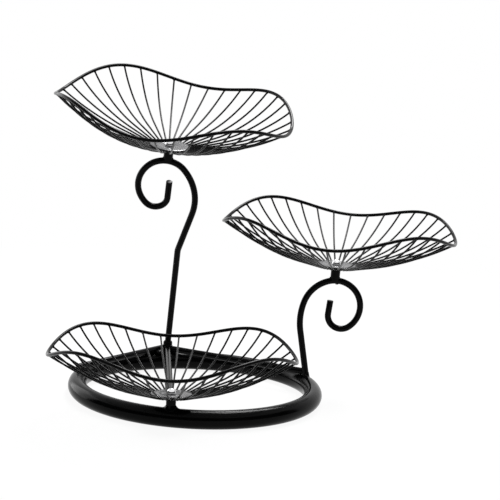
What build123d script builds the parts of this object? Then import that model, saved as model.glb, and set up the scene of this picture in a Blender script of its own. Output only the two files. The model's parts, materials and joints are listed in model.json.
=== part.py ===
from build123d import *

import os
from math import cos, pi, radians, sin, sqrt, tan

# Tiered basket stand: a round tube ring on the floor carries rods bent into scrolls, and
# three shallow wire baskets, each held at its middle by a capped screw that it turns on.
# Millimetres, +Z up. The origin is the ring's centre on the floor, and -Y is the front.
# An azimuth is counted from the front, and grows towards +X.

# Base ring
ring_radius = 129.0  # to the tube's middle
ring_tube_radius = 10.13

# Rods, and the round bars that they and the baskets stand on
rod_radius = 3.55
bar_radius = 5.25
stub_length = 13.4
post_length = 11.35
seat_overrun = 2.0  # how far a foot starts inside the piece that it is shaped to

# Where the feet stand on the ring, as azimuths and shares of its radius
post_azimuth, post_radius_share = -163.51, 1.0186
short_azimuth, short_radius_share = 111.89, 1.0167
front_azimuth = -9.36
left_start_azimuth, left_start_radius_share = -162.1, 1.053
left_end_azimuth = -97.5
left_overhang = 4.0

# Tall stem: it leans to the front, kinks once and ends in a scroll
tall_lean = 23.66
tall_heading = 86.38
tall_leg = 126.3
tall_kink_radius, tall_kink_turn = 20.0, -12.97
tall_upper_leg = 49.1
tall_scroll_radius = 34.8
tall_bend_shares = ((1.833, 54.54), (0.752, 95.93), (1.0, 88.08), (0.391, 133.59))
tall_tip = 21.1
tall_seat_bend_count, tall_seat_share = 1, 0.475  # bends before the seat's, and its share of that

# Short stem: upright, ending in a scroll that turns the other way
short_heading = 100.19
short_leg = 50.75
short_scroll_radius = 28.7
short_bend_shares = ((2.357, -28.76), (1.33, -56.2), (1.0, -157.36), (0.521, -134.08))
short_tip = 15.15
short_seat_bend_count, short_seat_share = 2, 0.081

# Wire baskets; heights are over the underside of the disc
spoke_count = 40
spoke_wire_radius = 1.0
spoke_start_radius = 14.0
ramp_start_radius = 22.5
ramp_end_radius = 55.0
ramp_angle = 15.0
rim_radius = 128.5
rim_wire_radius = 1.8
rim_height = 47.7
wave_count = 4
wave_height = 8.4
disc_radius = 21.5
disc_thickness = 1.6

# Capped screws
cap_radius = 4.9
cap_collar = 3.2
cap_dome = 4.4
shank_radius = 2.5
shank_depth = 9.0
hole_spare_depth = 1.0
swivel_clearance = 0.1

# Weld beads
front_bead_radius = 9.6
front_bead_height = 3.4
short_bead_radius = 5.8
short_bead_height = 3.0
post_bead_height = 1.6
bead_lip = 0.4  # how far a bead's top edge stands off the corners of what it runs round

# Wires, rods, bars and screws have a few flat sides, and the round section's own area.
# The ring's flat sides touch its round tube, so that it keeps the tube's height and width.
wire_sides = 4
rod_sides = 10
ring_sides = 12
curve_chords = 2
dome_shares = (0, 0.45, 0.9)

# A basket's name, its lean to the right and to the front, and a crest's and a spoke's azimuth
baskets = (
    ("bottom", -0.78, -3.06, 47.3, 8.5),
    ("right", 1.84, -0.17, 37.0, 1.0),
    ("top", 4.72, 8.19, 32.3, 3.1),
)
stub_length_share = {"bottom": 1.05, "right": 1.0, "top": 0.963}
rim_height_share = {"bottom": 1.004, "right": 0.981, "top": 1.0}

up = Vector(0, 0, 1)
crown_height = 2 * ring_tube_radius
spoke_step = 360 / spoke_count


def around(radius, azimuth, height):
    """The point at an azimuth round the Z axis."""
    angle = radians(azimuth)
    return Vector(radius * sin(angle), -radius * cos(angle), height)


def corner_reach(radius, sides):
    """How far the corners of a polygon with a round section's area lie from its middle."""
    step = 2 * pi / sides
    return radius * sqrt(step / sin(step))


def section(radius, sides, corner_at=0):
    return RegularPolygon(corner_reach(radius, sides), sides, rotation=corner_at)


def tapered(outline):
    """A turned shape from its radii and heights, with as many flat sides as a bar."""
    return loft([Pos(0, 0, height) * section(radius, rod_sides) for radius, height in outline], ruled=True)


def rod_along(path, side):
    """A rod along a path, with a flat of its section facing the given side."""
    start = Plane(origin=path @ 0, x_dir=side, z_dir=path % 0)
    return sweep(start * section(rod_radius, rod_sides, 180 / rod_sides), path)


def bar_from(foot, length, start):
    """A bar that stands on a frame, begun by its start below the foot."""
    outline = foot.offset(-start) * section(bar_radius, rod_sides)
    return extrude(outline, length + start)


def centre_line(heading, steps):
    """A bent rod in its own plane, from a size and a turn for each edge: a straight turns by 0."""
    edges = []
    point, direction = Vector(0, 0), Vector(cos(radians(heading)), sin(radians(heading)))
    for size, turn in steps:
        if turn:
            edge = JernArc(point, direction, size, turn)
        else:
            edge = Line(point, point + direction * size)
        edges.append(edge)
        point, direction = edge @ 1, edge % 1
    return edges


def bend_steps(radius, shares):
    return [(radius * share, turn) for share, turn in shares]


def leaning_plane(foot, lean):
    """The plane through a foot that holds +X and leans to the front."""
    return Plane(origin=foot, x_dir=(1, 0, 0), z_dir=(0, -cos(radians(lean)), -sin(radians(lean))))


def stem_solid(plane, edges):
    """The bent rod, started a little below its foot so that the foot can be shaped to its seat."""
    foot, heading = edges[0] @ 0, edges[0] % 0
    path = plane * Wire([Line(foot - heading * seat_overrun, foot), *edges])
    return rod_along(path, plane.z_dir)


# Base ring, and the post at its back
tube_section = RegularPolygon(ring_tube_radius, ring_sides, major_radius=False, rotation=180 / ring_sides)
ring = revolve(Plane.XZ * Pos(ring_radius, ring_tube_radius) * tube_section, Axis.Z)
post_foot = Plane(around(ring_radius * post_radius_share, post_azimuth, crown_height))
post = bar_from(post_foot, post_length, seat_overrun) - ring

# Tall stem, on the post
post_top = post_foot.origin + up * post_length
tall_plane = leaning_plane(post_top, tall_lean)
tall_legs = [(tall_leg, 0), (tall_kink_radius, tall_kink_turn), (tall_upper_leg, 0)]
tall_bends = bend_steps(tall_scroll_radius, tall_bend_shares)
tall_edges = centre_line(tall_heading, tall_legs + tall_bends + [(tall_tip, 0)])
tall_stem = stem_solid(tall_plane, tall_edges) - post
tall_seat_edge = tall_edges[len(tall_legs) + tall_seat_bend_count]
tall_seat = tall_plane.from_local_coords(tall_seat_edge @ tall_seat_share)

# Short stem, on the ring
short_foot = Plane(around(ring_radius * short_radius_share, short_azimuth, crown_height))
short_plane = leaning_plane(short_foot.origin, 0)
short_legs = [(short_leg, 0)]
short_bends = bend_steps(short_scroll_radius, short_bend_shares)
short_edges = centre_line(short_heading, short_legs + short_bends + [(short_tip, 0)])
short_stem = stem_solid(short_plane, short_edges) - ring
short_seat_edge = short_edges[len(short_legs) + short_seat_bend_count]
short_seat = short_plane.from_local_coords(short_seat_edge @ short_seat_share)

# Each stub's foot, on the ring or on a scroll, and its length
front_foot = around(ring_radius, front_azimuth, crown_height)


def leaning_frame(origin, right_lean, front_lean):
    """A frame whose Z leans to the right and to the front, and whose X stays towards +X."""
    axis = Vector(tan(radians(right_lean)), -tan(radians(front_lean)), 1)
    return Plane(origin=origin, x_dir=(1, 0, 0), z_dir=axis)


def stub_solid(foot, length, start):
    """The bar that carries a basket, bored for the screw, from its start inside the support."""
    bore_depth = shank_depth + hole_spare_depth
    bore = foot.offset(length - bore_depth) * tapered([(shank_radius, 0), (shank_radius, bore_depth)])
    return bar_from(foot, length, start) - bore


def screw_solid():
    """A domed cap on a shank, from the frame at the underside of the disc."""
    collar_top = disc_thickness + cap_collar
    dome_radius = (cap_radius**2 + cap_dome**2) / (2 * cap_dome)
    dome = RadiusArc((cap_radius, collar_top), (0, collar_top + cap_dome), -dome_radius)
    points = [dome @ share for share in dome_shares]
    cap = tapered([(cap_radius, disc_thickness), *[(point.X, point.Y) for point in points]])
    return tapered([(shank_radius, -shank_depth), (shank_radius, disc_thickness)]) + cap


def disc_solid():
    outline = RegularPolygon(disc_radius, spoke_count) - Circle(shank_radius + swivel_clearance)
    return extrude(outline, disc_thickness)


def radial_plane(azimuth):
    """The upright plane through the Z axis at an azimuth: its X runs outwards and its Y up."""
    outwards = around(1, azimuth, 0)
    return Plane(origin=(0, 0, 0), x_dir=outwards, z_dir=outwards.cross(up))


def repeated(shape, count):
    return [Rot(0, 0, 360 * k / count) * shape for k in range(count)]


def wave(azimuth, crest):
    """The share of the wave's height by which the rim stands over its mean."""
    return cos(wave_count * radians(azimuth - crest))


def rim_solid(mean_height, crest, first_spoke):
    """The rim's wire in chords, with the middle of a chord over each spoke."""
    half_step = radians(spoke_step / 2)
    corner_radius = rim_radius / cos(half_step)
    corner_wave = wave_height / cos(wave_count * half_step)
    sections = []
    for k in range(spoke_count // wave_count + 1):
        azimuth = first_spoke + (k - 1 / 2) * spoke_step
        height = mean_height + corner_wave * wave(azimuth, crest)
        wire = section(rim_wire_radius, wire_sides)
        sections.append(radial_plane(azimuth) * Pos(corner_radius, height) * wire)
    quarters = repeated(loft(sections, ruled=True), wave_count)
    return quarters[0] + quarters[1:]


def spoke_solid(azimuth, end_height):
    """One spoke: flat under the disc, then a ramp, then a curve up to the rim."""
    low = -corner_reach(spoke_wire_radius, wire_sides) * cos(pi / wire_sides)
    ramp_rise = (ramp_end_radius - ramp_start_radius) * tan(radians(ramp_angle))
    slope = (cos(radians(ramp_angle)), sin(radians(ramp_angle)))
    curve = TangentArc((ramp_end_radius, low + ramp_rise), (rim_radius, end_height), tangent=slope)
    points = [(spoke_start_radius, low), (ramp_start_radius, low)]
    points += [curve @ (k / curve_chords) for k in range(curve_chords + 1)]
    plane = radial_plane(azimuth)
    path = plane * Polyline(*points)
    start = Plane(origin=path @ 0, x_dir=plane.z_dir, z_dir=path % 0)
    wire = start * section(spoke_wire_radius, wire_sides, 180 / wire_sides)
    return sweep(wire, path, transition=Transition.RIGHT)


def spoke_solids(mean_height, crest, first_spoke, rim):
    """Every spoke, cut to the rim: the rim's waves repeat, so one wave's spokes are turned round."""
    solids = []
    for k in range(spoke_count // wave_count):
        azimuth = first_spoke + k * spoke_step
        height = mean_height + wave_height * wave(azimuth, crest)
        spoke = spoke_solid(azimuth, height) - rim
        solids += repeated(spoke.solid(), wave_count)
    return Compound(solids)


# Stubs, screws and baskets
stub_seats = {
    "bottom": (front_foot, 0, seat_overrun, ring),
    "right": (short_seat, rod_radius, rod_radius, short_stem),
    "top": (tall_seat, rod_radius, rod_radius, tall_stem),
}
nodes = {"base_ring": ring, "back_post": post, "tall_stem": tall_stem, "short_stem": short_stem}
screws = []
for name, right_lean, front_lean, crest, first_spoke in baskets:
    seat, surface, start, support = stub_seats[name]
    foot = leaning_frame(seat, right_lean, front_lean).offset(surface)
    length = stub_length * stub_length_share[name]
    frame = foot.offset(length)
    nodes[name + "_stub"] = stub_solid(foot, length, start) - support
    screws.append(frame * screw_solid())
    mean_height = rim_height * rim_height_share[name]
    rim = rim_solid(mean_height, crest, first_spoke)
    nodes[name + "_rim"] = frame * rim
    nodes[name + "_spokes"] = frame * spoke_solids(mean_height, crest, first_spoke, rim)
    nodes[name + "_disc"] = frame * disc_solid()
nodes["cap_screws"] = Compound([screw.solid() for screw in screws])

# Rods that lie on the ring's crown and meet at the post
on_crown = up * rod_radius
post_middle = post_foot.origin + on_crown
short_middle = short_foot.origin + on_crown
front_middle = front_foot + on_crown
front_middle -= (front_middle - post_middle).normalized() * (bar_radius + shank_radius) / 2
left_start = around(ring_radius * left_start_radius_share, left_start_azimuth, crown_height) + on_crown
left_end = around(ring_radius, left_end_azimuth, crown_height) + on_crown
left_end += (left_end - left_start).normalized() * left_overhang
right_rod = rod_along(Line(post_middle, short_middle), up) - post - short_stem
front_rod = rod_along(Line(post_middle, front_middle), up) - post - nodes["bottom_stub"] - right_rod
left_rod = rod_along(Line(left_start, left_end), up) - post - right_rod - front_rod
nodes |= {"right_rod": right_rod, "front_rod": front_rod, "left_rod": left_rod}


def weld_beads():
    """Beads at the feet of the front stub, the short stem and the post's rod, cut to fit them."""
    full_height = front_bead_height + seat_overrun
    bar_reach = corner_reach(bar_radius, rod_sides) + bead_lip
    flare = tapered([(front_bead_radius, 0), (bar_reach, full_height)])
    along_ring = Box(2 * front_bead_radius, 2 * bar_reach, 2 * full_height)
    front = Pos(front_foot - up * seat_overrun) * Rot(0, 0, front_azimuth) * (flare & along_ring)
    rod_reach = corner_reach(rod_radius, rod_sides) + bead_lip
    short_lean = short_bead_height / tan(radians(short_heading))
    short = short_foot * tapered([(short_bead_radius, 0), (rod_reach + abs(short_lean), short_bead_height)])
    back_lean = post_bead_height * tan(radians(tall_lean))
    back = Pos(post_top) * tapered([(bar_radius, 0), (rod_reach + back_lean, post_bead_height)])
    return (
        front - ring - nodes["bottom_stub"] - front_rod,
        short - ring - short_stem - right_rod,
        back - tall_stem,
    )


beads = weld_beads()
nodes["weld_beads"] = Compound([solid for bead in beads for solid in bead.solids()])

os.makedirs("parts", exist_ok=True)
for name, shape in nodes.items():
    export_step(shape, f"parts/{name}.step")
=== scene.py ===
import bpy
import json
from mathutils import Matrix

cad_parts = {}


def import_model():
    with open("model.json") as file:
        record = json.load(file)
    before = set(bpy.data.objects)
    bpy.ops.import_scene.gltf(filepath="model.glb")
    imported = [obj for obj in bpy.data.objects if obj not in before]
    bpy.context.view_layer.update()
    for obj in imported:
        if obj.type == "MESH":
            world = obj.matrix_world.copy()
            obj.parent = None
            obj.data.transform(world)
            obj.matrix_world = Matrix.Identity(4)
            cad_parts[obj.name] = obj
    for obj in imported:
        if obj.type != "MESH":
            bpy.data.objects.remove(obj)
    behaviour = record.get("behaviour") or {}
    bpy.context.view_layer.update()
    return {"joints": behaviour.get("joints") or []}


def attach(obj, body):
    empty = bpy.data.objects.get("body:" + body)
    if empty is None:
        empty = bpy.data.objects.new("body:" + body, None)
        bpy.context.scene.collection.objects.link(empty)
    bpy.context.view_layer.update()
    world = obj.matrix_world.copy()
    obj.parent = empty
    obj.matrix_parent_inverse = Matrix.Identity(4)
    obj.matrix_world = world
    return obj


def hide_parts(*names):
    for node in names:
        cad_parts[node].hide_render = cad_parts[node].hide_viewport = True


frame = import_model()

import json
from math import asin, atan2, ceil, cos, pi, radians, sin, sqrt, tan

import bpy
from mathutils import Matrix, Vector, noise

# Sizes in millimetres and angles in degrees, with -Y the front and azimuths counted from it.
# Ring, rods, bars, wires and discs have the sizes of the frame's solids; the screws' caps are lower.
MM = 0.001
RIGHT, BACK, UP = Vector((1, 0, 0)), Vector((0, 1, 0)), Vector((0, 0, 1))

# Base ring, rods and bars
RING_RADIUS, TUBE_RADIUS = 129.0, 10.13
CROWN = 2 * TUBE_RADIUS
ROD_RADIUS, BAR_RADIUS = 3.55, 5.25
STUB_LENGTH, POST_LENGTH = 13.4, 11.35
SEAT_OVERRUN = 2.0  # how far a foot starts inside its seat
ROD_EDGE, BAR_EDGE = 0.3, 0.35  # the rounded edges at their ends

# Where the feet stand on the ring, as azimuths and shares of its radius
POST_AZIMUTH, POST_SHARE = -163.51, 1.0186
SHORT_AZIMUTH, SHORT_SHARE = 111.89, 1.0167
FRONT_AZIMUTH = -9.36
LEFT_START_AZIMUTH, LEFT_START_SHARE = -162.1, 1.053
LEFT_END_AZIMUTH, LEFT_OVERHANG = -97.5, 4.0

# Stems. A bend is a share of the scroll's radius and a turn; a stub's seat is the number of bends
# before it and its share of the next one.
BEND_STEP = 2.5
TALL_LEAN, TALL_HEADING = 23.66, 86.38
TALL_LEG, TALL_UPPER_LEG, TALL_TIP = 126.3, 49.1, 21.1
TALL_KINK_RADIUS, TALL_KINK_TURN = 20.0, -12.97
TALL_SCROLL_RADIUS = 34.8
TALL_BENDS = ((1.833, 54.54), (0.752, 95.93), (1.0, 88.08), (0.391, 133.59))
TALL_SEAT = (1, 0.475)
SHORT_LEAN, SHORT_HEADING = 0, 100.19
SHORT_LEG, SHORT_TIP = 50.75, 15.15
SHORT_SCROLL_RADIUS = 28.7
SHORT_BENDS = ((2.357, -28.76), (1.33, -56.2), (1.0, -157.36), (0.521, -134.08))
SHORT_SEAT = (2, 0.081)

# Baskets; heights are over the underside of the disc
SPOKES, SPOKE_RADIUS, SPOKE_START = 40, 1.0, 14.0
SPOKE_DROP_SHARE = 0.93  # of the spoke's radius, from the disc down to the spoke's middle
RAMP_START, RAMP_END, RAMP_ANGLE = 22.5, 55.0, 15.0
RAMP_FOOT = ((-1.6, 0), (-0.4, 0.02), (0.8, 0.17), (1.8, 0.47))  # the soft bend into the ramp
CURVE_PARTS = 12
RIM_RADIUS, RIM_WIRE, RIM_HEIGHT = 128.5, 1.8, 47.7
WAVES, WAVE_HEIGHT = 4, 8.4
DISC_RADIUS, DISC_THICKNESS, HOLE_RADIUS = 21.5, 1.6, 2.6
HOLE_BEVEL = 0.25
DISC_ROUND = ((0.45, 0), (0.12, 0.14), (0, 0.5))  # insets and heights of the disc's rounded edge

# Crest and first spoke are azimuths; the stub's length and the rim's height are shares
BASKETS = {
    "bottom": {"crest": 47.3, "first_spoke": 8.5, "stub": 1.05, "rim": 1.004},
    "right": {"crest": 37.0, "first_spoke": 1.0, "stub": 1.0, "rim": 0.981},
    "top": {"crest": 32.3, "first_spoke": 3.1, "stub": 0.963, "rim": 1.0},
}

# Screws
PLAY = 0.04  # between stub, disc and cap
SHANK_RADIUS, SHANK_DEPTH = 2.4, 9.0
CAP_RADIUS, CAP_COLLAR, CAP_DOME = 4.9, 1.3, 4.1
CAP_UNDERSIDE, CAP_POLE = 0.2, 0.02  # radii of the small faces that close its outline
COLLAR_INSET = 0.05
CAP_FOOT = ((0.25, 0), (0, 0.2), (0, 0.55), (0.15, 0.7), (0.3, 0.8), (0.2, 0.95), (COLLAR_INSET, 1.1))
DOME_PARTS = 16

# Welds: how far each runs out round its foot, and how high it climbs
WELD_SINK = 0.1  # how far a weld starts inside the bar
FRONT_WELD_NARROW, FRONT_WELD_WIDE, FRONT_WELD_HEIGHT = BAR_RADIUS + 1.3, 9.6, 3.4
FRONT_WELD_POWER = 1.5  # how fast it widens towards the line of the ring
SHORT_WELD_REACH, SHORT_WELD_HEIGHT = 5.6, 2.8
POST_WELD_REACH, POST_WELD_HEIGHT = 6.7, 1.6
SKIRT_HOLLOW, SKIRT_SINK = 2.2, 0.3  # the power of its hollow curve, and how far its edge sinks
SADDLE_BEAD, STEM_BEAD, SEAT_BEAD = 0.9, 1.1, 0.7  # radii of the beads between rods and bars
STEM_BEAD_REACH, STEM_BEAD_PARTS, STEM_BEAD_SHIFT = ROD_RADIUS + 0.25, 24, Vector((0, -0.4, 0.3))
FILL_ALONG = 7.0  # where the fill beside the post lies along the left rod
FILL_SHIFT = Vector((-3.3, -7.5, -0.4))
FILL_AXES = (Vector((5, 0, 0)), Vector((1.5, 7.5, 0)), Vector((0, 0, 2.6)))
RIM_KNOT, RIM_KNOT_BACK = (1.45, 1.3, 1.9), 1.5  # half sizes, and how far before the spoke's end
DISC_KNOT, DISC_KNOT_BACK_SHARE = (1.3, 1.5, 0.75), 0.1
DRIP, DRIP_ALONG = (1.9, 1.5, 1.1), 2.5

# Lumps of the welds: their depth as a share, and how fine they are
BEAD_LUMPS, SKIRT_LUMPS, BLOB_LUMPS, KNOT_LUMPS = (0.35, 0.55), (0.16, 2.2), (0.18, 1.7), (0.25, 1.37)

# Flat sides round each section, parts along each closed line, and the angles that stay sharp
RING_SIDES, ROD_SIDES, BAR_SIDES, RIM_SIDES, SPOKE_SIDES, BEAD_SIDES = 56, 28, 40, 18, 12, 10
SHANK_SIDES, CAP_SIDES = 32, 64
RING_PARTS, RIM_PARTS, DISC_PARTS, SADDLE_PARTS, SEAT_BEAD_PARTS = 256, 320, 96, 28, 14
BLOB_PARTS, RIM_KNOT_PARTS, DISC_KNOT_PARTS = 12, 7, 6
SHARP, DISC_SHARP, SCREW_SHARP, WELD_SHARP = 38, 50, 55, 80

# Patterns of the materials: cells a metre, and detail
DUST, GLOSS, FINE_PEEL, WIDE_PEEL = (60, 4), (140, 3), (700, 2), (260, 1)
CLOUD, SMEARS, RIPPLES = (300, 3), (500, 3), (350, 2)


# Materials
def shader(name, colour, roughness, metallic=0.0, specular=0.5):
    """A material with its shader, whose plain values sit on the shader's own sockets."""
    material = bpy.data.materials.new(name)
    material.use_nodes = True
    tree = material.node_tree
    principled = tree.nodes["Principled BSDF"]
    principled.inputs["Base Color"].default_value = (*colour, 1)
    principled.inputs["Roughness"].default_value = roughness
    principled.inputs["Metallic"].default_value = metallic
    principled.inputs["Specular IOR Level"].default_value = specular
    return material, tree, principled


def pattern(tree, scale, detail):
    """Noise in the object's own coordinates: scale is in cells a metre."""
    place = tree.nodes.new("ShaderNodeTexCoord")
    texture = tree.nodes.new("ShaderNodeTexNoise")
    texture.inputs["Scale"].default_value = scale
    texture.inputs["Detail"].default_value = detail
    texture.inputs["Roughness"].default_value = 0.5
    tree.links.new(place.outputs["Object"], texture.inputs["Vector"])
    return texture.outputs["Fac"]


def spread(tree, source, low, high, start=0.3, end=0.7):
    """The source, from its start to its end, laid out between two values."""
    ramp = tree.nodes.new("ShaderNodeMapRange")
    ramp.inputs["From Min"].default_value = start
    ramp.inputs["From Max"].default_value = end
    ramp.inputs["To Min"].default_value = low
    ramp.inputs["To Max"].default_value = high
    tree.links.new(source, ramp.inputs["Value"])
    return ramp.outputs["Result"]


def tint(tree, source, dark, light):
    """The source laid out between two colours."""
    mix = tree.nodes.new("ShaderNodeMix")
    mix.data_type = "RGBA"
    mix.inputs["A"].default_value = (*dark, 1)
    mix.inputs["B"].default_value = (*light, 1)
    tree.links.new(source, mix.inputs["Factor"])
    return mix.outputs["Result"]


def bumps(tree, principled, *layers):
    """Layers of height, each a source and its depth in metres, on the shader's normal."""
    normal = None
    for source, depth in layers:
        bump = tree.nodes.new("ShaderNodeBump")
        bump.inputs["Strength"].default_value = 1.0
        bump.inputs["Distance"].default_value = depth
        tree.links.new(source, bump.inputs["Height"])
        if normal:
            tree.links.new(normal, bump.inputs["Normal"])
        normal = bump.outputs["Normal"]
    tree.links.new(normal, principled.inputs["Normal"])


def powder_coat(name, dark, light, smooth, rough, specular, peel):
    """A baked powder coat: an orange peel in two sizes, a little dust and an uneven gloss."""
    material, tree, principled = shader(name, light, rough, specular=specular)
    dust = tint(tree, pattern(tree, *DUST), dark, light)
    gloss = spread(tree, pattern(tree, *GLOSS), smooth, rough)
    tree.links.new(dust, principled.inputs["Base Color"])
    tree.links.new(gloss, principled.inputs["Roughness"])
    bumps(tree, principled, (pattern(tree, *FINE_PEEL), peel), (pattern(tree, *WIDE_PEEL), peel * 2))
    return material


def black_coat():
    """The glossy black coat of ring, rods and wires."""
    dark, light = (0.0008, 0.0008, 0.0009), (0.002, 0.002, 0.0022)
    return powder_coat("black_coat", dark, light, 0.14, 0.21, specular=0.055, peel=0.000005)


def disc_grey():
    """The coat of the baskets' discs, whose grey colour is painted reflection: the black coat looks grey
    from the white that it reflects at a grazing view, on top of its real gloss.
    """
    # Dark grey in place of black: painted reflection of the white seen at a grazing view
    dark, light = (0.045, 0.045, 0.047), (0.07, 0.07, 0.073)
    return powder_coat("disc_grey", dark, light, 0.16, 0.24, specular=0.3, peel=0.000004)


def chrome():
    """Polished plating with faint smears."""
    dark, light = (0.78, 0.78, 0.79), (0.9, 0.9, 0.91)
    material, tree, principled = shader("chrome", (0.86, 0.86, 0.87), 0.1, metallic=1.0)
    cloud = tint(tree, pattern(tree, *CLOUD), dark, light)
    smears = spread(tree, pattern(tree, *SMEARS), 0.03, 0.08)
    tree.links.new(cloud, principled.inputs["Base Color"])
    tree.links.new(smears, principled.inputs["Roughness"])
    bumps(tree, principled, (pattern(tree, *RIPPLES), 0.00001))
    return material


FINISH = {"black_coat": black_coat(), "disc_grey": disc_grey(), "chrome": chrome()}


# Mesh helpers
class Form:
    """Points and faces that grow into one object."""

    def __init__(self):
        self.points, self.faces = [], []

    def rings(self, rings, closed=False):
        """A skin over rings of points, all with as many points, with a face at each open end."""
        first, count = len(self.points), len(rings[0])
        for ring in rings:
            self.points += [tuple(point * MM) for point in ring]
        spans = len(rings) if closed else len(rings) - 1
        for i in range(spans):
            a, b = first + i * count, first + (i + 1) % len(rings) * count
            for j in range(count):
                k = (j + 1) % count
                self.faces.append((a + j, a + k, b + k, b + j))
        if not closed:
            self.faces.append(tuple(range(first + count - 1, first - 1, -1)))
            last = first + (len(rings) - 1) * count
            self.faces.append(tuple(range(last, last + count)))

    def object(self, name, body, slot, *nodes, sharp=SHARP):
        """The finished object, riding a body: edges over the sharp angle stay sharp."""
        mesh = bpy.data.meshes.new(name)
        mesh.from_pydata(self.points, [], self.faces)
        mesh.validate()
        mesh.polygons.foreach_set("use_smooth", [True] * len(mesh.polygons))
        mesh.set_sharp_from_angle(angle=radians(sharp))
        mesh.materials.append(FINISH[slot])
        piece = bpy.data.objects.new(name, mesh)
        bpy.context.scene.collection.objects.link(piece)
        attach(piece, body)
        if nodes:
            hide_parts(*nodes)


def circle(middle, across, along, radius, sides):
    """Points round a middle in the plane of two unit vectors."""
    turns = [2 * pi * k / sides for k in range(sides)]
    return [middle + (across * cos(turn) + along * sin(turn)) * radius for turn in turns]


def rounded_end(ring, way, edge, sides):
    """The sections of a rounded edge, from the full one out: way is 1 at an end, -1 at a start."""
    middle, across, along, radius, tangent = ring
    skins = []
    for bend in (0, pi / 6, pi / 3, pi / 2):
        place = middle - tangent * way * edge * (1 - sin(bend))
        skins.append(circle(place, across, along, radius - edge * (1 - cos(bend)), sides))
    return skins


def tube(form, points, side, radius, sides, closed=False, start_edge=0.0, end_edge=0.0, swell=None):
    """A round wire along points. Side is the direction that its section keeps to, or gives it for
    each point, and swell gives a share of the radius for each point."""
    count = len(points)
    rings = []
    for i, point in enumerate(points):
        before = points[(i - 1) % count] if closed or i else points[0]
        after = points[(i + 1) % count] if closed or i < count - 1 else points[-1]
        tangent = (after - before).normalized()
        across = side(i) if callable(side) else side
        across = (across - tangent * across.dot(tangent)).normalized()
        size = radius * (swell(i) if swell else 1)
        rings.append((point, across, tangent.cross(across), size, tangent))
    skins = [circle(middle, across, along, size, sides) for middle, across, along, size, _ in rings]
    if start_edge:
        skins[:1] = rounded_end(rings[0], -1, start_edge, sides)[::-1]
    if end_edge:
        skins[-1:] = rounded_end(rings[-1], 1, end_edge, sides)
    form.rings(skins, closed=closed)


def turned(form, matrix, profile, sides):
    """A profile of radii and heights turned round the Z of a frame's matrix."""
    turning = matrix.to_3x3()
    skins = []
    for radius, height in profile:
        skins.append(circle(matrix @ (UP * height), turning @ RIGHT, turning @ BACK, radius, sides))
    form.rings(skins)


def lumpy(lumps, place, shift):
    """A share that rises over 1 and falls under it from place to place."""
    depth, fineness = lumps
    return 1 + depth * noise.noise(place * fineness + shift)


def bead(form, points, radius, seed, closed=True):
    """A weld bead along points: a thick line with lumps."""
    middle = sum(points, Vector()) / len(points)

    def side(i):
        return points[i] - middle if closed else UP

    def swell(i):
        return lumpy(BEAD_LUMPS, points[i], RIGHT * seed)

    tube(form, points, side, radius, BEAD_SIDES, closed=closed, swell=swell)


def blob(form, middle, axes, seed, parts=BLOB_PARTS):
    """A lumpy drop about a middle, with three half axes."""
    skins = []
    for i in range(1, parts):
        tilt = pi * i / parts
        skin = []
        for k in range(parts * 2):
            turn = pi * k / parts
            way = Vector((sin(tilt) * cos(turn), sin(tilt) * sin(turn), cos(tilt)))
            size = lumpy(BLOB_LUMPS, way, Vector((seed, seed * 0.7, 0)))
            skin.append(middle + (axes[0] * way.x + axes[1] * way.y + axes[2] * way.z) * size)
        skins.append(skin)
    form.rings(skins)


def around(radius, azimuth, height):
    """The point at an azimuth round the Z axis."""
    angle = radians(azimuth)
    return Vector((radius * sin(angle), -radius * cos(angle), height))


# Base ring, and the bars and rods on it
on_crown = UP * ROD_RADIUS
post_foot = around(RING_RADIUS * POST_SHARE, POST_AZIMUTH, CROWN)
post_top = post_foot + UP * POST_LENGTH
short_foot = around(RING_RADIUS * SHORT_SHARE, SHORT_AZIMUTH, CROWN)
front_foot = around(RING_RADIUS, FRONT_AZIMUTH, CROWN)
left_start = around(RING_RADIUS * LEFT_START_SHARE, LEFT_START_AZIMUTH, CROWN) + on_crown
left_end = around(RING_RADIUS, LEFT_END_AZIMUTH, CROWN) + on_crown
left_along = (left_end - left_start).normalized()
left_end += left_along * LEFT_OVERHANG


def base_ring():
    """The round tube, bent to a ring."""
    form = Form()
    points = [around(RING_RADIUS, 360 * k / RING_PARTS, TUBE_RADIUS) for k in range(RING_PARTS)]
    tube(form, points, UP, TUBE_RADIUS, RING_SIDES, closed=True)
    form.object("round_ring", "stand", "black_coat", "base_ring")


def bar(name, foot, axis, length, start, node):
    """A round bar with a rounded top edge, from its start below the foot."""
    form = Form()
    points = [foot - axis * start, foot + axis * length / 2, foot + axis * length]
    tube(form, points, axis.cross(BACK).normalized(), BAR_RADIUS, BAR_SIDES, end_edge=BAR_EDGE)
    form.object(name, "stand", "black_coat", node)


def rod(name, start, end, node, edge=0.0):
    """A straight base rod."""
    form = Form()
    points = [start, (start + end) / 2, end]
    tube(form, points, UP, ROD_RADIUS, ROD_SIDES, start_edge=edge, end_edge=edge)
    form.object(name, "stand", "black_coat", node)


base_ring()
bar("round_post", post_foot, UP, POST_LENGTH, SEAT_OVERRUN, "back_post")


# Stems
def scroll(radius, bends):
    """The steps of a scroll from its radius and its bends."""
    return [(radius * share, turn) for share, turn in bends]


def centre_line(heading, steps):
    """A bent rod's points in its own plane. A step is a radius and a turn, or a length and 0."""
    angle = radians(heading)
    points = [Vector((0, 0))]
    for size, turn in steps:
        if turn:
            radius = size if turn > 0 else -size
            middle = points[-1] + Vector((-sin(angle), cos(angle))) * radius
            parts = ceil(abs(turn) / BEND_STEP)
            for k in range(1, parts + 1):
                now = angle + radians(turn) * k / parts
                points.append(middle - Vector((-sin(now), cos(now))) * radius)
            angle += radians(turn)
        else:
            points.append(points[-1] + Vector((cos(angle), sin(angle))) * size)
    return points


def leaning_up(lean):
    """The way up in the plane of a stem that leans to the front."""
    return Vector((0, -sin(radians(lean)), cos(radians(lean))))


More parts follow.
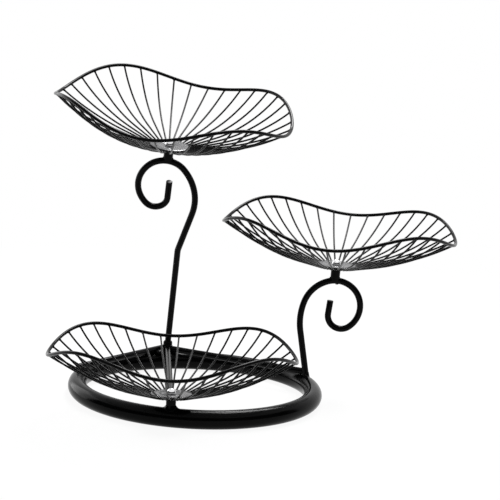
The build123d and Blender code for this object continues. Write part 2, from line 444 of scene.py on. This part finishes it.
def stem(name, foot, lean, heading, steps, node):
    """A bent rod from inside its seat up to its scroll's tip."""
    rise = leaning_up(lean)
    points = [foot + RIGHT * point.x + rise * point.y for point in centre_line(heading, steps)]
    points.insert(0, points[0] - (points[1] - points[0]).normalized() * SEAT_OVERRUN)
    form = Form()
    tube(form, points, RIGHT.cross(rise), ROD_RADIUS, ROD_SIDES, end_edge=ROD_EDGE)
    form.object(name, "stand", "black_coat", node)


def tall_stem():
    """The stem from the post: it kinks once under its scroll."""
    steps = [(TALL_LEG, 0), (TALL_KINK_RADIUS, TALL_KINK_TURN), (TALL_UPPER_LEG, 0)]
    steps += scroll(TALL_SCROLL_RADIUS, TALL_BENDS) + [(TALL_TIP, 0)]
    stem("tall_scroll_rod", post_top, TALL_LEAN, TALL_HEADING, steps, "tall_stem")


def short_stem():
    """The upright stem on the ring, whose scroll turns the other way."""
    steps = [(SHORT_LEG, 0)] + scroll(SHORT_SCROLL_RADIUS, SHORT_BENDS) + [(SHORT_TIP, 0)]
    stem("short_scroll_rod", short_foot, SHORT_LEAN, SHORT_HEADING, steps, "short_stem")


tall_stem()
short_stem()
rod("right_base_rod", post_foot + on_crown, short_foot + on_crown, "right_rod")
rod("front_base_rod", post_foot + on_crown, front_foot + on_crown, "front_rod")
rod("left_base_rod", left_start, left_end, "left_rod", edge=ROD_EDGE)


# Welds of the stand
def ring_surface(point):
    """The height of the ring's upper side under a point."""
    out = sqrt(point.x**2 + point.y**2) - RING_RADIUS
    return TUBE_RADIUS + sqrt(max(TUBE_RADIUS**2 - out * out, 0))


def skirt(form, foot, inner, reach, height, seed):
    """A weld run round a foot on the ring: a hollow curve from the bar down to the ring."""
    parts, steps = 40, 7
    skins = [[] for _ in range(steps + 1)]
    for k in range(parts):
        angle = 2 * pi * k / parts
        way = Vector((cos(angle), sin(angle), 0))
        lump = lumpy(SKIRT_LUMPS, way, RIGHT * seed)
        top, low = foot + way * inner, foot + way * reach(way) * lump
        high_z, low_z = foot.z + height * lump, ring_surface(low)
        for s, skin in enumerate(skins):
            share = s / steps
            point = top + (low - top) * share
            z = low_z + (high_z - low_z) * (1 - share) ** SKIRT_HOLLOW
            point.z = max(z, ring_surface(point)) if s < steps else low_z - SKIRT_SINK
            skin.append(point)
    form.rings(skins)


def foot_welds():
    """The skirts of the front stub, wider along the ring, the short stem and the post."""
    form = Form()
    along = around(1, FRONT_AZIMUTH + 90, 0)

    def front_reach(way):
        widening = abs(way.dot(along)) ** FRONT_WELD_POWER
        return FRONT_WELD_NARROW + (FRONT_WELD_WIDE - FRONT_WELD_NARROW) * widening

    bar_inner, rod_inner = BAR_RADIUS - WELD_SINK, ROD_RADIUS - WELD_SINK
    skirt(form, front_foot, bar_inner, front_reach, FRONT_WELD_HEIGHT, seed=1.3)
    skirt(form, short_foot, rod_inner, lambda way: SHORT_WELD_REACH, SHORT_WELD_HEIGHT, seed=5.1)
    skirt(form, post_foot, bar_inner, lambda way: POST_WELD_REACH, POST_WELD_HEIGHT, seed=8.4)
    form.object("stand_welds", "stand", "black_coat", "weld_beads", sharp=WELD_SHARP)


def saddle(form, middle, axis, seed):
    """The bead where a level rod, along axis, runs into the side of an upright bar."""
    third = UP.cross(axis)
    points = []
    for k in range(SADDLE_PARTS):
        angle = 2 * pi * k / SADDLE_PARTS
        sideways = ROD_RADIUS * cos(angle)
        out = sqrt(BAR_RADIUS**2 - sideways**2)
        points.append(middle + axis * out + third * sideways + UP * ROD_RADIUS * sin(angle))
    bead(form, points, SADDLE_BEAD, seed)


def rod_welds():
    """The beads of the rods on post and front stub, and the fill beside the post."""
    form = Form()
    post, short, front = (foot + on_crown for foot in (post_foot, short_foot, front_foot))
    saddle(form, post, (short - post).normalized(), seed=1.0)
    saddle(form, post, (front - post).normalized(), seed=2.0)
    saddle(form, front, (post - front).normalized(), seed=3.0)
    round_stem = circle(post_top + STEM_BEAD_SHIFT, RIGHT, BACK, STEM_BEAD_REACH, STEM_BEAD_PARTS)
    bead(form, round_stem, STEM_BEAD, seed=4.0)
    fill = (left_start + left_along * FILL_ALONG + post_foot) / 2 + FILL_SHIFT
    blob(form, fill, FILL_AXES, seed=9.0)
    form.object("rod_welds", "stand", "black_coat", sharp=WELD_SHARP)


foot_welds()
rod_welds()


# Baskets
def basket_frame(joint):
    """The matrix of a basket's own frame, in millimetres, from the joint that it turns on."""
    origin, axis = Vector(joint["pos_m"]), Vector(joint["axis"]).normalized()
    across = (RIGHT - axis * RIGHT.dot(axis)).normalized()
    matrix = Matrix((across, axis.cross(across), axis)).transposed().to_4x4()
    matrix.translation = origin / MM
    return matrix


def rim_height(name, azimuth):
    """The height of the rim's middle at an azimuth."""
    sizes = BASKETS[name]
    wave = cos(WAVES * radians(azimuth - sizes["crest"]))
    return RIM_HEIGHT * sizes["rim"] + WAVE_HEIGHT * wave


def basket_rim(name, matrix):
    """The wavy rim, one closed wire."""
    form = Form()
    turning = matrix.to_3x3()
    points, outwards = [], []
    for k in range(RIM_PARTS):
        azimuth = 360 * k / RIM_PARTS
        points.append(matrix @ around(RIM_RADIUS, azimuth, rim_height(name, azimuth)))
        outwards.append(turning @ around(1, azimuth, 0))
    tube(form, points, lambda i: outwards[i], RIM_WIRE, RIM_SIDES, closed=True)
    form.object(name + "_round_rim", name + "_basket", "black_coat", name + "_rim")


def spoke_line(matrix, azimuth, end_height):
    """A spoke's middle: flat under the disc, up the ramp, then one arc to the rim."""
    low = -SPOKE_DROP_SHARE * SPOKE_RADIUS
    slope = radians(RAMP_ANGLE)
    line = [(SPOKE_START, low)]
    line += [(RAMP_START + out, low + rise) for out, rise in RAMP_FOOT]
    start_height = low + (RAMP_END - RAMP_START) * tan(slope)
    normal = (-sin(slope), cos(slope))
    out, rise = RIM_RADIUS - RAMP_END, end_height - start_height
    bend = (out * out + rise * rise) / (2 * (out * normal[0] + rise * normal[1]))
    middle_out, middle_height = RAMP_END + normal[0] * bend, start_height + normal[1] * bend
    start = atan2(start_height - middle_height, RAMP_END - middle_out)
    turn = atan2(end_height - middle_height, RIM_RADIUS - middle_out) - start
    turn = (turn + pi) % (2 * pi) - pi
    for k in range(CURVE_PARTS + 1):
        angle = start + turn * k / CURVE_PARTS
        line.append((middle_out + abs(bend) * cos(angle), middle_height + abs(bend) * sin(angle)))
    return [matrix @ around(radius, azimuth, height) for radius, height in line]


def basket_spokes(name, matrix):
    """The spokes, and a knot of weld at each of their ends."""
    sizes, turning = BASKETS[name], matrix.to_3x3()
    wires, knots = Form(), Form()
    for k in range(SPOKES):
        azimuth = sizes["first_spoke"] + k * 360 / SPOKES
        line = spoke_line(matrix, azimuth, rim_height(name, azimuth))
        sideways = turning @ around(1, azimuth + 90, 0)
        tube(wires, line, sideways, SPOKE_RADIUS, SPOKE_SIDES)
        size = lumpy(KNOT_LUMPS, RIGHT * k, BACK * sizes["crest"])
        along = (line[-1] - line[-2]).normalized()
        wide, thick, long = RIM_KNOT
        axes = (sideways * wide * size, along.cross(sideways) * thick * size, along * long)
        blob(knots, line[-1] - along * RIM_KNOT_BACK, axes, k, RIM_KNOT_PARTS)
        wide, long, thick = DISC_KNOT
        axes = (sideways * wide * size, turning @ around(long, azimuth, 0), turning @ UP * thick)
        start = line[1] + (line[0] - line[1]) * DISC_KNOT_BACK_SHARE
        blob(knots, start, axes, k + 50, DISC_KNOT_PARTS)
    wires.object(name + "_round_spokes", name + "_basket", "black_coat", name + "_spokes")
    knots.object(name + "_weld_knots", name + "_basket", "black_coat", sharp=WELD_SHARP)


def basket_disc(name, matrix):
    """The disc with its bevelled hole and rounded edge."""
    form = Form()
    low = [(HOLE_RADIUS, HOLE_BEVEL), (HOLE_RADIUS + HOLE_BEVEL, 0)]
    low += [(DISC_RADIUS - inset, height) for inset, height in DISC_ROUND]
    outline = low + [(radius, DISC_THICKNESS - height) for radius, height in low[::-1]]
    skins = []
    for radius, height in outline:
        azimuths = [360 * k / DISC_PARTS for k in range(DISC_PARTS)]
        skins.append([matrix @ around(radius, azimuth, height) for azimuth in azimuths])
    form.rings(skins, closed=True)
    # The disc's grey finish is painted reflection on a black coat
    form.object(name + "_round_disc", name + "_basket", "disc_grey", name + "_disc", sharp=DISC_SHARP)


def stub_foot(name, matrix, below=0.0):
    """The middle of the stub's foot, or a point below it."""
    return matrix @ (UP * (-STUB_LENGTH * BASKETS[name]["stub"] - below))


def basket_stub(name, matrix):
    """The bar that carries the basket, begun inside the ring or the scroll."""
    length = STUB_LENGTH * BASKETS[name]["stub"] - PLAY
    start = SEAT_OVERRUN if name == "bottom" else ROD_RADIUS
    axis = matrix.to_3x3() @ UP
    bar(name + "_round_stub", stub_foot(name, matrix), axis, length, start, name + "_stub")


def basket(name, matrix):
    """One basket and the stub under it."""
    basket_rim(name, matrix)
    basket_spokes(name, matrix)
    basket_disc(name, matrix)
    basket_stub(name, matrix)


def cap_profile():
    """The cap's outline: a foot with a groove over it, a straight collar and a dome."""
    low, collar = DISC_THICKNESS + PLAY, DISC_THICKNESS + CAP_COLLAR
    ball = (CAP_RADIUS**2 + CAP_DOME**2) / (2 * CAP_DOME)
    collar_radius = CAP_RADIUS - COLLAR_INSET
    line = [(CAP_UNDERSIDE, low)]
    line += [(CAP_RADIUS - inset, low + height) for inset, height in CAP_FOOT]
    line.append((collar_radius, collar))
    widest = asin(collar_radius / ball)
    for k in range(1, DOME_PARTS + 1):
        tilt = widest * (1 - k / DOME_PARTS)
        line.append((max(ball * sin(tilt), CAP_POLE), collar + CAP_DOME - ball * (1 - cos(tilt))))
    return line


def screws(matrices):
    """The three screws, each a shank and a domed cap."""
    form = Form()
    shank = [(SHANK_RADIUS, -SHANK_DEPTH), (SHANK_RADIUS, DISC_THICKNESS + 2 * PLAY)]
    for matrix in matrices:
        turned(form, matrix, shank, SHANK_SIDES)
        turned(form, matrix, cap_profile(), CAP_SIDES)
    form.object("domed_screws", "stand", "chrome", "cap_screws", sharp=SCREW_SHARP)


def seat_welds(name, matrix, lean, heading, bends, seat):
    """The beads at both ends of a stub's foot, over the scroll that it stands on, and the drip of
    weld under the right one."""
    whole, share = seat
    turns = [turn for _, turn in bends]
    angle = radians(heading + sum(turns[:whole]) + turns[whole] * share)
    middle = stub_foot(name, matrix, ROD_RADIUS)
    along = (RIGHT * cos(angle) + leaning_up(lean) * sin(angle)).normalized()
    across = along.cross(matrix.to_3x3() @ UP).normalized()
    lift = across.cross(along).normalized()
    form = Form()
    for way, seed in ((1, 1.5), (-1, 6.5)):
        points = []
        for k in range(SEAT_BEAD_PARTS + 1):
            turn = pi * k / SEAT_BEAD_PARTS
            sideways, upwards = ROD_RADIUS * cos(turn), ROD_RADIUS * sin(turn)
            out = sqrt(BAR_RADIUS**2 - sideways**2)
            points.append(middle + along * way * out + across * sideways + lift * upwards)
        bead(form, points, SEAT_BEAD, seed, closed=False)
    if name == "right":
        drip = middle + along * DRIP_ALONG - lift * ROD_RADIUS
        long, wide, thick = DRIP
        blob(form, drip, (along * long, across * wide, lift * thick), seed=3)
    form.object(name + "_seat_welds", "stand", "black_coat", sharp=WELD_SHARP)


joints = {joint["child"]: joint for joint in frame["joints"]}
places = {name: basket_frame(joints[name + "_basket"]) for name in BASKETS}
for name, matrix in places.items():
    basket(name, matrix)
screws(places.values())
seat_welds("right", places["right"], SHORT_LEAN, SHORT_HEADING, SHORT_BENDS, SHORT_SEAT)
seat_welds("top", places["top"], TALL_LEAN, TALL_HEADING + TALL_KINK_TURN, TALL_BENDS, TALL_SEAT)

# Camera: where it looks, in millimetres, and from where
LOOK_AT, DISTANCE = Vector((51.786, 0, 167.446)), 2165.48
ELEVATION, ROLL = 10.368, 3.134


def camera():
    """The view from the front and a little above, slightly rolled."""
    data = bpy.data.cameras.new("camera")
    data.sensor_width = 36
    data.lens = 144
    data.clip_end = 50
    item = bpy.data.objects.new("camera", data)
    elevation, roll = radians(ELEVATION), radians(ROLL)
    ahead = Vector((0, cos(elevation), -sin(elevation)))
    up = Vector((0, sin(elevation), cos(elevation)))
    across = RIGHT * cos(roll) + up * sin(roll)
    over = up * cos(roll) - RIGHT * sin(roll)
    matrix = Matrix((across, over, -ahead)).transposed().to_4x4()
    matrix.translation = (LOOK_AT - ahead * DISTANCE) * MM
    item.matrix_world = matrix
    bpy.context.scene.collection.objects.link(item)
    bpy.context.scene.camera = item


camera()

# Floor, world and lamps, in metres; the start and the turn of the flag are azimuths
WHITE = (1, 1, 1, 1)
FLOOR_SIZE = 6.0
NEAR_SHADE, NEAR, FAR = 0.93, 0.2, 0.9  # how white the floor is near the ring, and up to where
WORLD_LIGHT = 0.25
FLAG_RADIUS, FLAG_LOW, FLAG_HIGH = 3.2, 0.02, 2.0
FLAG_START, FLAG_TURN, FLAG_PARTS = -125, 230, 36


def seen(tree):
    """1 for the rays that show the background: camera, glossy and transmission rays."""
    path = tree.nodes.new("ShaderNodeLightPath")
    total = path.outputs["Is Camera Ray"]
    for ray in ("Is Glossy Ray", "Is Transmission Ray"):
        add = tree.nodes.new("ShaderNodeMath")
        add.operation = "MAXIMUM"
        tree.links.new(total, add.inputs[0])
        tree.links.new(path.outputs[ray], add.inputs[1])
        total = add.outputs["Value"]
    return total


def stage_object(name, points, faces, material):
    """A mesh of the stage, with its material."""
    mesh = bpy.data.meshes.new(name)
    mesh.from_pydata(points, [], faces)
    mesh.materials.append(material)
    item = bpy.data.objects.new(name, mesh)
    bpy.context.scene.collection.objects.link(item)
    return item


def floor_white():
    """White where it is seen, a shade darker near the ring, where the object's shadow shows."""
    material, tree, principled = shader("floor_white", (0.9, 0.9, 0.9), 0.9, specular=0.1)
    place = tree.nodes.new("ShaderNodeTexCoord")
    distance = tree.nodes.new("ShaderNodeVectorMath")
    distance.operation = "LENGTH"
    tree.links.new(place.outputs["Object"], distance.inputs[0])
    factor = tree.nodes.new("ShaderNodeMath")
    factor.operation = "MULTIPLY"
    tree.links.new(spread(tree, distance.outputs["Value"], NEAR_SHADE, 1.0, NEAR, FAR), factor.inputs[0])
    tree.links.new(seen(tree), factor.inputs[1])
    glow = tree.nodes.new("ShaderNodeEmission")
    glow.inputs["Color"].default_value = WHITE
    glow.inputs["Strength"].default_value = 1.0
    mix = tree.nodes.new("ShaderNodeMixShader")
    tree.links.new(factor.outputs["Value"], mix.inputs["Fac"])
    tree.links.new(principled.outputs["BSDF"], mix.inputs[1])
    tree.links.new(glow.outputs["Emission"], mix.inputs[2])
    tree.links.new(mix.outputs["Shader"], tree.nodes["Material Output"].inputs["Surface"])
    return material


def floor():
    """The ground, level with the ring's underside."""
    size = FLOOR_SIZE
    corners = [(-size, -size, 0), (size, -size, 0), (size, size, 0), (-size, size, 0)]
    item = stage_object("floor", corners, [(0, 1, 2, 3)], floor_white())


def world():
    """White where it is seen, and a plain grey light on the object."""
    sky = bpy.data.worlds.new("studio")
    bpy.context.scene.world = sky
    sky.use_nodes = True
    tree = sky.node_tree
    light = tree.nodes["Background"]
    light.inputs["Color"].default_value = WHITE
    light.inputs["Strength"].default_value = WORLD_LIGHT
    white = tree.nodes.new("ShaderNodeBackground")
    white.inputs["Color"].default_value = WHITE
    white.inputs["Strength"].default_value = 1.0
    mix = tree.nodes.new("ShaderNodeMixShader")
    tree.links.new(seen(tree), mix.inputs["Fac"])
    tree.links.new(light.outputs["Background"], mix.inputs[1])
    tree.links.new(white.outputs["Background"], mix.inputs[2])
    tree.links.new(mix.outputs["Shader"], tree.nodes["World Output"].inputs["Surface"])


def dark_flag():
    """A dark curtain round the left, the front and the right, seen only in reflections."""
    points, faces = [], []
    for k in range(FLAG_PARTS + 1):
        azimuth = FLAG_START + FLAG_TURN * k / FLAG_PARTS
        points += [around(FLAG_RADIUS, azimuth, height) for height in (FLAG_LOW, FLAG_HIGH)]
    for k in range(FLAG_PARTS):
        faces.append((2 * k, 2 * k + 2, 2 * k + 3, 2 * k + 1))
    material, _, _ = shader("dark_cloth", (0.01, 0.01, 0.01), 0.9, specular=0.05)
    item = stage_object("dark_flag", points, faces, material)
    item.visible_camera = False
    item.visible_diffuse = False
    item.visible_shadow = False


def lamp(name, place, target, width, height, power):
    """A rectangular lamp aimed at a target."""
    data = bpy.data.lights.new(name, "AREA")
    data.shape = "RECTANGLE"
    data.size, data.size_y = width, height
    data.energy = power
    item = bpy.data.objects.new(name, data)
    item.location = place
    item.rotation_euler = (Vector(target) - Vector(place)).to_track_quat("-Z", "Y").to_euler()
    bpy.context.scene.collection.objects.link(item)


floor()
world()
dark_flag()
lamp("softbox", (0.25, 0.64, 1.35), (0.03, 0, 0.1), width=0.6, height=0.9, power=42)
lamp("left_panel", (-1.25, 0.9, 0.5), (0, 0, 0.1), width=1.2, height=1.0, power=9)
bpy.context.scene.view_settings.view_transform = "Standard"
